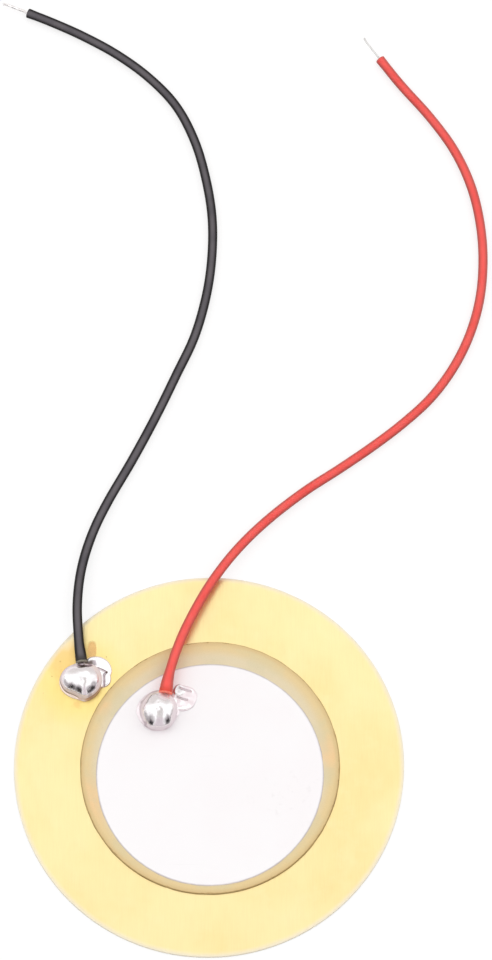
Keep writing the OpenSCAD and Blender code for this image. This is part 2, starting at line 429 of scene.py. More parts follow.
def solderFinish(look):
    skin = Finish("bright_solder", look, Metallic=1, Roughness=look["rough"])
    frost = skin.mottle(scale=1.4, low=0.52, high=0.7)
    grain = skin.grain(scale=7, detail=4, rough=0.6)
    specks = skin.specks(scale=2.6, amount=0.16, size=0.14)
    bloomAndReflection, warm, sootAndShade = (skin.fromMesh(name) for name in ("bloomAndReflection", "warm", "sootAndShade"))
    skin.tint(frost, "dull", 0.4)
    skin.tint(specks, "dull", 0.3)
    # bloom and painted reflection: a real dull bloom, painted paler and less metallic so that it also stands
    # in for the pinkish grey the steep sides, the foot and the front mirror
    skin.tint(bloomAndReflection, "bloomAndReflection")
    skin.tint(warm, "warm")
    smoky = skin.mottle(scale=0.9, low=0.42, high=0.6)
    # soot and painted shade: real soot and burnt flux, with shade painted under the overhang, in the creases
    # and along the lead's end
    sootAndShadeColour = skin.blend(smoky, tone(look["sootAndShade"]), tone(look["sootAndShadePale"]))
    skin.colour = skin.blend(sootAndShade, skin.colour, sootAndShadeColour)
    duller = skin.add(skin.times(sootAndShade, 0.15), skin.remap(bloomAndReflection, 0.5, 1, 0, 0.25))
    duller = skin.add(skin.remap(frost, 0, 1, look["rough"], look["rough"] + 0.1), duller)
    return skin.done(skin.add(grain, skin.times(specks, -1)), depth=0.001, strength=0.4,
                     Metallic=skin.remap(bloomAndReflection, 0.6, 1, 1, 0.15),
                     Specular_IOR_Level=skin.remap(bloomAndReflection, 0.6, 1, 0.5, 0),
                     Roughness=skin.add(duller, skin.times(grain, 0.05)))


def pvcFinish(name, look):
    skin = Finish(name, look, onLead=True, Roughness=look["rough"], Specular_IOR_Level=look["gloss"],
                  Subsurface_Weight=look["glow"], Subsurface_Radius=(1, 0.3, 0.2),
                  Subsurface_Scale=0.4 * mm)
    drawn = skin.streaks(stretch=(7, 7, 0.25))
    skin.tint(skin.mottle(scale=0.35, low=0.38, high=0.68), "shade")
    skin.tint(skin.remap(drawn, 0.35, 0.75, 0, 0.35), "shade")
    skin.tint(skin.specks(scale=3.2, amount=0.1, size=0.12), "dust", 0.35)
    # painted shade: the lead darkens towards its outline, where its surface turns away from the view
    turnedAway = addNode(skin.tree, "LayerWeight", {"Blend": 0.5}).outputs["Facing"]
    skin.tint(skin.remap(turnedAway, 0.02, look["rim"], 0, 0.95), "edge")
    fromEnd = addNode(skin.tree, "SeparateXYZ", {"Vector": skin.where}).outputs["Z"]
    skin.tint(skin.remap(fromEnd, 0.9, 0.1, 0, look["heated"]), "burnt")
    # the melted end face: its melted colour is painted paler than the body, as painted light on a face that
    # the bead shades
    skin.tint(skin.remap(fromEnd, 0.16, 0.1), "meltedAndLit")
    skin.tint(skin.fromMesh("cut"), "edge", 0.85)
    return skin.done(drawn, depth=0.008, strength=0.5,
                     Roughness=skin.remap(drawn, 0.3, 0.75, look["rough"] - 0.06, look["rough"] + 0.1))


blackLook = {
    "colour": "#6C686C", "shade": "#5E5B60", "dust": "#929092", "meltedAndLit": "#8E8A7C", "edge": "#0C0909",
    "burnt": "#3A3632", "heated": 0.85, "rim": 0.38, "rough": 0.5, "gloss": 0.12, "glow": 0,
}
redLook = {
    "colour": "#FF6660", "shade": "#F85B55", "dust": "#FF9A8C", "meltedAndLit": "#FF8A78", "edge": "#C65A52",
    "burnt": "#D8442E", "heated": 0.75, "rim": 0.42, "rough": 0.45, "gloss": 0.25, "glow": 0.35,
}
tinLook = {"colour": "#F6F4F4", "shade": "#E6E1DE", "drawn": "#D2C8C0", "tarnish": "#C6C6C4", "rough": 0.22}


def tinnedFinish(look):
    skin = Finish("tinned_strand", look, onLead=True, Metallic=1, Roughness=look["rough"])
    drawn = skin.streaks(stretch=(30, 30, 1.5))
    skin.tint(skin.mottle(scale=2.2, low=0.5, high=0.75), "shade")
    skin.tint(skin.remap(drawn, 0.4, 0.8, 0, 0.2), "drawn")
    skin.tint(skin.fromMesh("tarnish"), "tarnish", 0.6)
    return skin.done(drawn, depth=0.003, strength=0.5,
                     Roughness=skin.remap(drawn, 0.3, 0.75, look["rough"] - 0.06, look["rough"] + 0.1))


glueLook = {"colour": "#B89C64", "shade": "#A08654", "bubble": "#C9B27C", "rough": 0.3}


def glueFinish(look):
    skin = Finish("cured_glue", look, Roughness=look["rough"], Specular_IOR_Level=0.5)
    cloudy = skin.mottle(scale=0.8, low=0.35, high=0.7)
    bubbles = skin.specks(scale=4, amount=0.3, size=0.25)
    skin.tint(cloudy, "shade")
    skin.tint(bubbles, "bubble", 0.4)
    return skin.done(skin.add(cloudy, bubbles), depth=0.006, strength=0.5)


fluxLook = {
    "colour": "#FFC277", "shade": "#F6B060", "bubble": "#8A6A34", "rim": "#9A7238", "burnt": "#7A5A50",
    "charred": "#5C4640", "rough": 0.16, "opaque": (0.015, 0.04),
}


def fluxFinish(look):
    skin = Finish("amber_flux", look, Roughness=look["rough"], Coat_Roughness=0.1)
    depth = skin.mottle(scale=1.6, low=0.3, high=0.75)
    bubbles = skin.specks(scale=2.4, amount=0.15, size=0.18)
    skin.tint(depth, "shade")
    skin.tint(bubbles, "bubble", 0.4)
    facing = addNode(skin.tree, "NewGeometry").outputs["Normal"]
    slope = addNode(skin.tree, "SeparateXYZ", {"Vector": facing}).outputs["Z"]
    rim = skin.remap(slope, 0.995, 0.9)
    skin.tint(rim, "rim", 0.5)
    burnt = skin.fromMesh("burnt")
    burntColour = skin.blend(depth, tone(look["burnt"]), tone(look["charred"]))
    skin.colour = skin.blend(burnt, skin.colour, burntColour)
    thin = skin.add(skin.remap(depth, 0, 1, *look["opaque"]), skin.times(rim, 0.1))
    return skin.done(skin.add(depth, bubbles), depth=0.01, strength=0.6,
                     Alpha=calc(skin.tree, "MAXIMUM", thin, skin.times(burnt, 0.9)))


finishes = {
    "brass": brassFinish(brassLook),
    "silver": silverFinish(silverLook),
    "ceramic": ceramicFinish(ceramicLook),
    "solder": solderFinish(solderLook),
    "black_pvc": pvcFinish("black_pvc", blackLook),
    "red_pvc": pvcFinish("red_pvc", redLook),
    "tinned_wire": tinnedFinish(tinLook),
    "glue": glueFinish(glueLook),
    "flux": fluxFinish(fluxLook),
}
print("finishes made:", len(finishes))


# ---- mesh helpers; shapes are built in millimetres round the Z axis

def arcPoints(x, z, radius, start, end, count):
    turns = [start + (end - start) * i / (count - 1) for i in range(count)]
    return [(x + radius * math.cos(a), z + radius * math.sin(a)) for a in turns]


def lathe(profile, steps, closed=False):
    bm = bmesh.new()
    verts = [bm.verts.new((x, 0, z)) for x, z in profile]
    pairs = list(zip(verts, verts[1:])) + ([(verts[-1], verts[0])] if closed else [])
    edges = [bm.edges.new(pair) for pair in pairs]
    bmesh.ops.spin(bm, geom=verts + edges, axis=(0, 0, 1), cent=(0, 0, 0), angle=math.tau,
                   steps=steps, use_merge=True)
    bmesh.ops.remove_doubles(bm, verts=bm.verts, dist=1e-6)
    bmesh.ops.recalc_face_normals(bm, faces=bm.faces)
    return bm


def joinInto(target, bm):
    mesh = bpy.data.meshes.new("part")
    bm.to_mesh(mesh)
    bm.free()
    target.from_mesh(mesh)
    bpy.data.meshes.remove(mesh)


def addObject(name, bm, material):
    mesh = bpy.data.meshes.new(name)
    bm.to_mesh(mesh)
    bm.free()
    mesh.materials.append(material)
    thing = bpy.data.objects.new(name, mesh)
    scene.collection.objects.link(thing)
    return thing


def makePiece(name, bm, slot, replaced=(), sharp=35):
    bmesh.ops.scale(bm, vec=(mm, mm, mm), verts=bm.verts)
    piece = addObject(name, bm, finishes[slot])
    piece.data.shade_smooth()
    piece.data.set_sharp_from_angle(angle=math.radians(sharp))
    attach(piece, "root")
    if replaced:
        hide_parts(*replaced)
    return piece


def smooth(low, high, value):
    # rises from 0 to 1 between the two limits
    t = min(max((value - low) / (high - low), 0), 1)
    return t * t * (3 - 2 * t)


def fade(low, high, value):
    return 1 - smooth(low, high, value)


def band(rise, full, falling, gone, value):
    return smooth(rise, full, value) * fade(falling, gone, value)


def widen(v, factor):
    # moves a vertex straight out from the Z axis
    v.co.x *= factor
    v.co.y *= factor


def ripple(v, scale, seed):
    return noise.noise(Vector((v.co.x * scale, v.co.y * scale, seed)))


def moveTo(bm, place):
    bmesh.ops.translate(bm, vec=place, verts=bm.verts)


# ---- leads: the routes, the smoothed path and the pieces that are bent along it

# x, y and the height of the lead's underside in metres: the conductor's end in the solder, the
# insulation's end, the way along the table, the insulation's other end and the bare tip
blackRoute = [
    (-0.0113, 0.0078, 0.001), (-0.0115, 0.0092, 0.001), (-0.0118, 0.0113, 0.001),
    (-0.012, 0.0147, 0.0009), (-0.0117, 0.0182, 0.0005), (-0.0108, 0.0216, 0.0002),
    (-0.0094, 0.0248, 0.0001), (-0.0072, 0.0289, 0), (-0.0051, 0.0331, 0), (-0.0032, 0.0373, 0),
    (-0.0015, 0.0412, 0), (-0.0004, 0.0454, 0), (0.0001, 0.0494, 0), (0.0001, 0.0534, 0),
    (-0.0005, 0.0574, 0), (-0.0016, 0.0614, 0), (-0.0034, 0.0651, 0), (-0.006, 0.0681, 0),
    (-0.0091, 0.0706, 0), (-0.0124, 0.0726, 0), (-0.0154, 0.0741, 0), (-0.0179, 0.0752, 0),
    (-0.0204, 0.0763, 0)]
redRoute = [
    (-0.004, 0.0048, 0.0012), (-0.0038, 0.0062, 0.0012), (-0.0035, 0.0083, 0.0012),
    (-0.0025, 0.0114, 0.0011), (-0.001, 0.0146, 0.001), (0.0007, 0.0175, 0.0008),
    (0.0028, 0.0203, 0.0005), (0.0054, 0.023, 0.0002), (0.0087, 0.0257, 0.0001),
    (0.0119, 0.0279, 0), (0.015, 0.0301, 0), (0.0179, 0.0324, 0), (0.0206, 0.035, 0),
    (0.0228, 0.0381, 0), (0.0244, 0.0415, 0), (0.0254, 0.0452, 0), (0.02575, 0.0492, 0),
    (0.0255, 0.0531, 0), (0.0247, 0.0568, 0), (0.0232, 0.0604, 0), (0.021, 0.0638, 0),
    (0.0183, 0.0672, 0), (0.0163, 0.07, 0), (0.01468, 0.0723, 0)]

leadSize = {
    # insulation: outer radius, bore, the swollen and melted end at the solder, and the cut end
    "outer": 0.445, "bore": 0.165, "swollen": 0.54, "swellLength": 2.5, "melt": 0.1, "undercut": 0.45,
    "meltLength": 0.9, "lip": 0.015, "lipLength": 0.32, "flare": 0.025, "flareLength": 0.9,
    "cutRound": 0.035, "sides": 32, "ringGap": 0.35,
    # conductor: radius of a strand, of the ring they lie on and of the tin between them
    "strands": 7, "strand": 0.05, "strandRing": 0.1, "strandSides": 10, "strandGap": 0.45, "pitch": 4.6,
    "tin": 0.14, "tinSides": 24, "trim": 0.16, "hookLength": 0.45, "fray": 0.55, "frayLength": 0.9,
}
curveSteps = 14  # dense points on each stretch between route points


def curvePoint(a, b, c, d, t):
    return (2 * b + (c - a) * t + (2 * a - 5 * b + 4 * c - d) * t ** 2
            + (3 * b - a - 3 * c + d) * t ** 3) / 2


class LeadPath:
    # the centre line in millimetres, with the distance along it at each dense point
    def __init__(self, route):
        lift = Vector((0, 0, leadSize["outer"]))
        knots = [Vector(p) / mm + lift for p in route]
        last = len(knots) - 1
        self.points, self.knotAt = [], []
        for i in range(last):
            self.knotAt.append(len(self.points))
            around = (knots[max(i - 1, 0)], knots[i], knots[i + 1], knots[min(i + 2, last)])
            self.points += [curvePoint(*around, s / curveSteps) for s in range(curveSteps)]
        self.knotAt.append(len(self.points))
        self.points.append(knots[last])
        self.far = [0]
        for a, b in zip(self.points, self.points[1:]):
            self.far.append(self.far[-1] + (b - a).length)
        self.start = self.far[self.knotAt[1]]     # where the insulation starts
        self.end = self.far[self.knotAt[-2]]      # where it ends
        self.tip = self.far[-1]

    def heading(self, i):
        last = len(self.points) - 1
        return (self.points[min(i + 1, last)] - self.points[max(min(i, last) - 1, 0)]).normalized()

    def place(self, along, x, y):
        i = min(max(bisect_right(self.far, along) - 1, 0), len(self.far) - 2)
        t = (along - self.far[i]) / (self.far[i + 1] - self.far[i])
        ahead = self.heading(i).lerp(self.heading(i + 1), min(max(t, 0), 1)).normalized()
        side = Vector((-ahead.y, ahead.x, 0)).normalized()
        return self.points[i].lerp(self.points[i + 1], t) + x * side + y * ahead.cross(side)


def keepStraight(bm, start):
    # remembers the unbent coordinates for the finish, from the soldered end of the insulation
    layer = bm.verts.layers.float_vector.new("straight")
    for v in bm.verts:
        v[layer] = v.co - Vector((0, 0, start))


def spread(start, end, gap):
    count = max(2, math.ceil(abs(end - start) / gap))
    return [start + (end - start) * i / count for i in range(count + 1)]


def insulationTube(name, path, slot, swollen, seed):
    size = leadSize
    start, end = path.start - size["melt"], path.end

    def outerAt(z):
        swell = (swollen - size["outer"]) * fade(0, size["swellLength"], z - start)
        lip = size["lip"] * fade(0.02, size["lipLength"], z - start)
        flare = size["flare"] * smooth(end - size["flareLength"], end, z)
        return size["outer"] + swell + lip + flare

    bore, mouth, edge = size["bore"], outerAt(start), size["cutRound"]
    meltedFace = [(bore, start + 0.1), (bore + 0.01, start + 0.02), (bore + 0.06, start),
                  (mouth - 0.14, start), (mouth - 0.06, start + 0.01), (mouth - 0.015, start + 0.05)]
    rings = [start + 0.1, start + 0.16, start + 0.24] + spread(start + 0.34, end - 0.08, size["ringGap"])
    cut = arcPoints(outerAt(end) - edge, end - edge, edge, 0, math.pi / 2, 4)
    inside = [(bore, z) for z in spread(end, start + 0.4, 1.2)]
    profile = meltedFace + [(outerAt(z), z) for z in rings] + cut + inside
    bm = lathe(profile, size["sides"], closed=True)
    keepStraight(bm, start)
    cutLayer = bm.verts.layers.float.new("cut")
    for v in bm.verts:
        x, y, along = v.co
        v[cutLayer] = smooth(end - 0.1, end - 0.02, along)
        wobble = 1 - 0.012 * (1 - noise.noise(Vector((seed, 0.4, along * 0.35))))
        if math.hypot(x, y) > bore * 1.3:
            nick = noise.noise(Vector((x * 2.2, y * 2.2, along * 0.8 + seed)))
            near = fade(0, 1.2, along - start)
            wobble += 0.03 * nick * near
            along += 0.04 * near * ripple(v, 3, seed)
            along += size["undercut"] * smooth(0, 0.5, -y) * fade(0, size["meltLength"], along - start)
            x += (swollen - size["swollen"]) * fade(0, size["swellLength"], along - start)
        v.co = path.place(along, x * wobble, y * wobble)
        v.co.z = max(v.co.z, 0)
    return makePiece(name, bm, slot, sharp=50)


def strandBundle(name, path, replaced, hook, seed, thickness):
    # strands twisted round one in the middle, with tin between them at the bare end
    size = leadSize
    r, tip = size["strand"], path.tip
    whole = bmesh.new()
    for k in range(size["strands"]):
        last = tip - abs(size["trim"] * noise.cell(Vector((k * 1.7, seed, 0.5))))
        rod = [(0, 0), (r * 0.7, 0.01), (r, 0.03)]
        rod += [(r, z) for z in spread(0.4, last - 0.05, size["strandGap"])]
        rod += [(r, last - 0.02), (r * 0.8, last - 0.005), (0, last)]
        strand = lathe(rod, size["strandSides"])
        frayed = size["fray"] * abs(noise.noise(Vector((k, seed, 2.5))))
        for v in strand.verts:
            x, y, along = v.co
            loose = 1 + frayed * smooth(tip - size["frayLength"], tip, along)
            ring = size["strandRing"] * loose if k else 0
            turn = math.tau * (k / (size["strands"] - 1) + along / size["pitch"])
            v.co = (x + ring * math.cos(turn), y + ring * math.sin(turn), along)
        joinInto(whole, strand)
    tinFrom = path.end + 0.15
    tin = [(0, tinFrom), (size["tin"] / 2, tinFrom + 0.05)]
    tin += [(size["tin"], z) for z in spread(tinFrom + 0.25, tip - 0.5, 0.2)]
    tin += [(0.06, tip - 0.35), (0, tip - 0.3)]
    joinInto(whole, lathe(tin, size["tinSides"]))
    keepStraight(whole, path.start)
    tarnish = whole.verts.layers.float.new("tarnish")
    for v in whole.verts:
        x, y, along = v.co
        v[tarnish] = float(thickness < 1)
        bend = hook * max(0, along - (tip - size["hookLength"])) ** 2
        bare = 1 + (thickness - 1) * smooth(-0.3, 0.3, along - path.end)
        v.co = path.place(along, x * bare + bend, y * bare + 0.25 * abs(bend))
    return makePiece(name, whole, "tinned_wire", replaced, sharp=50)


def addLead(colour, route, swollen, hook, seed, thickness):
    # the hook bends the bare tip to one side; the thickness is that of the bare strands
    path = LeadPath(route)
    strands = strandBundle(colour + "_strands", path, (colour + "_conductor",), hook, seed, thickness)
    tube = insulationTube(colour + "_lead", path, colour + "_pvc", swollen, seed)
    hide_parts(colour + "_insulation")
    line = [path.place(s, 0, 0) * mm for s in spread(path.start, path.end, 0.8)]
    tuple(line[0])
    [tuple(p) for p in line]
    return path


blackPath = addLead("black", blackRoute, swollen=0.54, hook=0.7, seed=3.1, thickness=1)
redPath = addLead("red", redRoute, swollen=0.63, hook=-0.6, seed=8.4, thickness=0.62)
print("leads laid:", round(blackPath.tip, 1), "and", round(redPath.tip, 1), "mm")


# ---- the layers of the disc

discSize = {
    "steps": 360, "edgeZone": 0.3,  # the zone inside an edge where its shape is drawn finely
    "rimRound": 0.07, "burrRound": 0.025, "ceramicRound": 0.03, "silverRound": 0.036,
    "chip": 0.05, "chipWidth": 0.09, "chipBase": 0.08, "silverDrift": 0.035,
    "fillet": 0.05, "squeeze": 0.6,  # of the glue
}


def layerOf(node):
    # underside, top and radius of a layer
    low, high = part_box(node)
    return low.z / mm, high.z / mm, radiusOf(node)


def flatTop(radius, top, lip):
    # the last stretch of a layer's profile, from a lip inside its edge to the middle
    return [(radius - inset, top) for inset in (lip, 0.12, discSize["edgeZone"])] + [(0, top)]


def addPlate():
    _, top, radius = layerOf("brass_plate")
    roll, burr = discSize["rimRound"], discSize["burrRound"]
    profile = [(0, 0), (radius - discSize["edgeZone"], 0), (radius - 0.08, 0)]
    profile += arcPoints(radius - burr, burr, burr, -math.pi / 2, 0, 5)
    profile += [(radius, top * 0.5)]
    profile += arcPoints(radius - roll, top - roll, roll, 0, math.pi / 2, 8)
    profile += [(radius - roll - 0.04, top), (radius - discSize["edgeZone"], top)]
    profile += [(radius * share, top) for share in (0.85, 0.6, 0.3)] + [(0, top)]
    makePiece("brass_disc", lathe(profile, discSize["steps"]), "brass", ("brass_plate",))


def addCeramic():
    base, top, radius = layerOf("ceramic_disc")
    edge = discSize["ceramicRound"]
    profile = [(0, base), (radius - edge, base)]
    profile += arcPoints(radius - edge, base + edge, edge, -math.pi / 2, 0, 4)[1:]
    profile += [(radius, (base + top) / 2)]
    profile += arcPoints(radius - edge, top - edge, edge, 0, math.pi / 2, 5)
    bm = lathe(profile + flatTop(radius, top, 0.07), discSize["steps"] * 2)
    for v in bm.verts:  # small chips along the upper edge
        reach = math.hypot(v.co.x, v.co.y)
        if reach > radius - discSize["chipWidth"] and v.co.z > base + discSize["chipBase"]:
            chip = discSize["chip"] * smooth(0.45, 0.8, abs(ripple(v, 2.3, 4.2)) * 1.6)
            v.co.z -= chip
            widen(v, 1 - chip / reach)
    moveTo(bm, (*ceramicMiddle.xy, 0))
    makePiece("ceramic", bm, "ceramic", ("ceramic_disc",))


def addFrontSilver():
    base, top, radius = layerOf("front_electrode")
    edge = discSize["silverRound"]
    profile = [(0, base), (radius, base)]
    profile += arcPoints(radius - edge, base, edge, 0, math.pi / 2, 6)[1:-1]
    profile = [(x, min(z, top)) for x, z in profile]
    bm = lathe(profile + flatTop(radius, top, 0.06), discSize["steps"] * 2)
    for v in bm.verts:  # the printed edge wanders a little
        if math.hypot(v.co.x, v.co.y) > radius - discSize["edgeZone"]:
            widen(v, 1 + discSize["silverDrift"] / radius * ripple(v, 1.4, 2.6))
    moveTo(bm, (*electrodeMiddle.xy, 0))
    makePiece("front_silver", bm, "silver", ("front_electrode",))


def addGlue():
    # the thin layer and the fillet that was squeezed out against the ceramic's side
    base, top, outer = layerOf("glue_layer")
    inner, fillet = radiusOf("ceramic_disc"), discSize["fillet"]
    profile = [(0, base), (outer, base), (outer - 0.01, base + 0.012), (inner + fillet, top + 0.01),
               (inner + 0.015, top + fillet), (inner - 0.01, top + fillet), (inner - 0.02, top), (0, top)]
    bm = lathe(profile, discSize["steps"] * 2)
    for v in bm.verts:
        reach = math.hypot(v.co.x, v.co.y)
        if reach > inner + 0.02:
            squeezed = inner + (reach - inner) * (1 + discSize["squeeze"] * ripple(v, 0.9, 1.3))
            widen(v, squeezed / reach)
    moveTo(bm, (*ceramicMiddle.xy, 0))
    makePiece("glue_line", bm, "glue", ("glue_layer",))


addPlate()
addCeramic()
addFrontSilver()
addGlue()
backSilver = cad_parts["back_electrode"]
backSilver.data.materials.clear()
backSilver.data.materials.append(finishes["silver"])
print("disc layers made")


# ---- solder joints

beadSize = {
    "radius": 1.85, "height": 1.9, "waist": 0.55, "side": 0.85, "under": -35,
    "lumps": ((0.75, 0.03), (2.3, 0.01)),  # scale and depth
    "steps": 160, "footSteps": 128, "apronSteps": 96, "neckSteps": 48,
    "voxel": 0.03, "passes": 20, "flatBelow": 0.012, "creaseWidth": 0.13, "creaseDepth": 0.1,
}
# directions in degrees between which a stain comes and goes: rising, full, falling, gone
stainTurns = {
    "back": (100, 140, 195, 250), "nose": (258, 266, 284, 292), "flange": (140, 165, 268, 280),
    "slope": (278, 292, 335, 350),
}
# heights over the foot at which a stain fades or stops, and how ragged and wide it is
stainSize = {
    "overhang": (0.3, 0.6), "flange": (0.1, 0.2), "slope": (0.35, 0.7), "flat": 0.12, "nose": 0.35,
    "creasesTo": 0.5, "burnsAndShadowLinesFrom": 0.6, "creaseWidth": 0.18, "ragged": 0.12,
}
# Outlines are (direction in degrees, radius): the bead's, the foot's and the slope's. Dents are
# (centre, radius, depth), aprons (centre, radius, height, raggedness), creases (line, how dark, the
# darkness being painted shade), scorches and shade (centre, radius, how dark: burnt flux and shade
# painted over the neck and under the lead's end), burns and shadow lines (line, width, how dark:
# burns and the painted shadow arc under the lead's end) and the dulled patch (centre, radius, how
# dull). The neck is its radius and how far it drops. Soot is how dark the soot and painted shade
# under the overhang are, its limit the slope they reach up to, and the flat bloom how much bloom and
# painted reflection the foot gets.
negativeBead = {
    "plan": [(0, 1.92), (45, 1.72), (90, 1.42), (105, 1.4), (143, 1.74), (180, 1.95), (195, 1.92),
             (208, 1.87), (219, 1.8), (228, 1.72), (238, 1.64), (248, 1.605), (258, 1.67), (267, 1.78),
             (276, 1.88), (285, 1.93), (297, 1.9), (325, 1.9)],
    "foot": [(0, 2.0), (90, 1.7), (135, 1.75), (180, 1.96), (196, 1.97), (211, 1.95), (227, 1.88),
             (241, 1.83), (258, 1.82), (270, 1.9), (281, 2.05), (320, 2.03)],
    "skirt": [(0, 1.98), (30, 1.92), (60, 1.7), (90, 1.4), (120, 1.1), (180, 1.2), (225, 1.2),
              (250, 1.3), (268, 1.6), (282, 2.04), (320, 2.03)],
    "lean": 0.3, "seed": 5.0, "sootAndShade": 0.8, "sootAndShadeLimit": 0.12, "flatBloomAndReflection": 0.3, "flangeWarm": 0.5,
    "slopeWarm": 0.9, "neck": (0.26, 0), "dulled": ((0.5, 1.3), 0.4, 0.6),
    "dents": [((0.3, -0.6, 1.8), 0.35, 0.03), ((1.3, -0.7, 1.5), 0.3, 0.02),
              ((0.65, 0.1, 1.85), 0.3, 0.03)],
    "aprons": [((1.4, 0.85), 1.42, 0.13, 0.08), ((1.85, 0.2), 0.95, 0.16, 0.1)],
    "creases": [([(1.53, 1.11), (1.95, 0.95), (2.35, 0.73)], 0.2),
                ([(2.3, 0.7), (2.1, 0.45), (2.12, -0.2), (2.1, -0.77)], 0.5)],
    "scorchesAndShade": [((0.8, 1.5), 0.35, 0.9), ((1.15, 1.55), 0.3, 0.7), ((0.25, 1.45), 0.32, 0.6),
                 ((0.15, 1.15), 0.3, 0.75), ((1.0, -1.7), 0.16, 0.35)],
    "burnsAndShadowLines": [([(-0.1, 1.08), (0.25, 0.95), (0.65, 0.93), (1.0, 1.05)], 0.2, 0.95)],
}
positiveBead = {
    "plan": [(0, 1.68), (45, 1.64), (60, 1.58), (90, 1.72), (119, 1.71), (150, 1.61), (180, 1.67),
             (210, 1.75), (225, 1.85), (238, 1.94), (250, 1.97), (262, 1.93), (272, 1.92), (285, 1.93),
             (298, 1.95), (306, 1.93), (314, 1.86), (324, 1.76), (340, 1.68)],
    "foot": [(0, 1.95), (90, 1.8), (135, 1.88), (180, 2.02), (197, 1.98), (210, 1.94), (236, 1.93),
             (250, 1.97), (270, 1.93), (298, 1.93), (315, 1.84), (335, 1.8)],
    "skirt": [(0, 1.76), (45, 1.6), (90, 1.74), (119, 1.8), (150, 1.74), (180, 1.74), (210, 1.72),
              (236, 1.9), (250, 1.96), (270, 1.94), (298, 1.93), (315, 1.82), (335, 1.74)],
    "lean": 0.2, "seed": 11.0, "sootAndShade": 0.2, "sootAndShadeLimit": 0.2, "flatBloomAndReflection": 0.75, "flangeWarm": 0,
    "slopeWarm": 0, "neck": (0.48, 0.26), "dulled": ((0.5, 1.0), 0.65, 0.85),
    "dents": [((0.05, 0.35, 1.85), 0.22, 0.03), ((0.0, -0.35, 1.85), 0.25, 0.03)],
    "aprons": [((2.2, 1.15), 1.28, 0.12, 0.1), ((1.9, 1.85), 0.6, 0.15, 0.1)],
    "creases": [([(1.7, 1.25), (1.95, 1.13), (2.58, 0.95)], 0.35),
                ([(1.9, 2.1), (2.4, 1.9), (2.9, 1.75)], 0.25)],
    "scorchesAndShade": [((1.35, 1.75), 0.3, 0.35), ((1.75, 2.0), 0.4, 0.3), ((-1.12, -1.38), 0.22, 0.45),
                 ((0.6, 1.15), 0.3, 0.3), ((-1.45, 0.75), 0.2, 0.3)],
    "burnsAndShadowLines": [([(-0.45, 1.2), (0.1, 1.0), (0.6, 1.0)], 0.1, 0.2),
              ([(-1.35, 0.9), (-0.9, 1.35), (-0.2, 1.6)], 0.3, 0.4)],
}


def planRadius(plan, angle):
    # the radius in a direction, smoothly round through the plan's points
    degrees = (math.degrees(angle) - plan[0][0]) % 360 + plan[0][0]
    count = len(plan)
    i = bisect_right([direction for direction, _ in plan], degrees) - 1
    start, end = plan[i][0], plan[(i + 1) % count][0] + (360 if i == count - 1 else 0)
    radii = [plan[(i + step) % count][1] for step in (-1, 0, 1, 2)]
    return curvePoint(*radii, (degrees - start) / (end - start))


def beadProfile(size):
    # a side arc and a flatter dome arc that meet without a corner
    side, waist, height = size["side"], size["waist"], size["height"]
    across = size["radius"] - side
    rise = height - waist - side
    reach = (across ** 2 + rise ** 2) / (2 * rise)
    dome, domeZ = reach + side, waist + rise - reach
    meet = math.atan2(waist - domeZ, across)
    sideArc = arcPoints(across, waist, side, math.radians(size["under"]), meet, 26)
    domeArc = arcPoints(0, domeZ, dome, meet, math.pi / 2, 34)
    return [(0, 0), (sideArc[0][0] - 0.1, 0)] + sideArc + domeArc[1:]


def beadBody(size, look):
    bm = lathe(beadProfile(size), size["steps"])
    for v in bm.verts:
        widen(v, planRadius(look["plan"], math.atan2(v.co.y, v.co.x)) / size["radius"])
        v.co.x += look["lean"] * v.co.z / size["height"]
    bm.normal_update()
    moves = []
    for v in bm.verts:
        free = smooth(0.06, 0.5, v.co.z)
        place = v.co.copy()
        for scale, depth in size["lumps"]:
            shift = noise.noise(v.co * scale + Vector((look["seed"], 0, 0))) - 0.5
            place += v.normal * (depth * shift * free)
        for centre, radius, depth in look["dents"]:
            place -= v.normal * (depth * fade(0, radius, (v.co - Vector(centre)).length))
        moves.append(place)
    for v, place in zip(bm.verts, moves):
        v.co = place
    return bm


# radius as a share of the outline, and height
footProfile = [(0, 0), (1, 0), (1, 0.03), (0.985, 0.055), (0.96, 0.07), (0.9, 0.075), (0.85, 0.09),
               (0.8, 0.13), (0.76, 0.2), (0, 0.2)]
skirtProfile = [(0, 0), (1, 0), (1, 0.04), (0.98, 0.12), (0.94, 0.28), (0.885, 0.52), (0.82, 0.82),
                (0.74, 1.08), (0.62, 1.25), (0, 1.25)]


def wettedPart(profile, plan):
    # solder that flowed out under the bead: the thin flange all round, or the slope where it ran down
    bm = lathe(profile, beadSize["footSteps"])
    for v in bm.verts:
        widen(v, planRadius(plan, math.atan2(v.co.y, v.co.x)))
    return bm


def apronBlob(centre, radius, height, ragged, seed):
    # a thin splash of solder with a rounded, wandering edge
    profile = [(0, 0), (radius, 0), (radius, 0.02), (radius - 0.02, height * 0.45),
               (radius - 0.07, height * 0.8), (radius - 0.15, height * 0.97), (radius - 0.28, height)]
    profile += [(radius * share, height * (0.88 + 0.12 * share)) for share in (0.6, 0.4, 0.2, 0)]
    bm = lathe(profile, beadSize["apronSteps"])
    bmesh.ops.subdivide_edges(bm, edges=bm.edges, cuts=1, use_grid_fill=True)
    for v in bm.verts:
        widen(v, 1 + ragged * ripple(v, 1.3, seed))
        if v.co.z > 0.03:
            v.co.z += 0.03 * ripple(v, 1.8, seed + 3)
    moveTo(bm, (*centre, 0))
    return bm


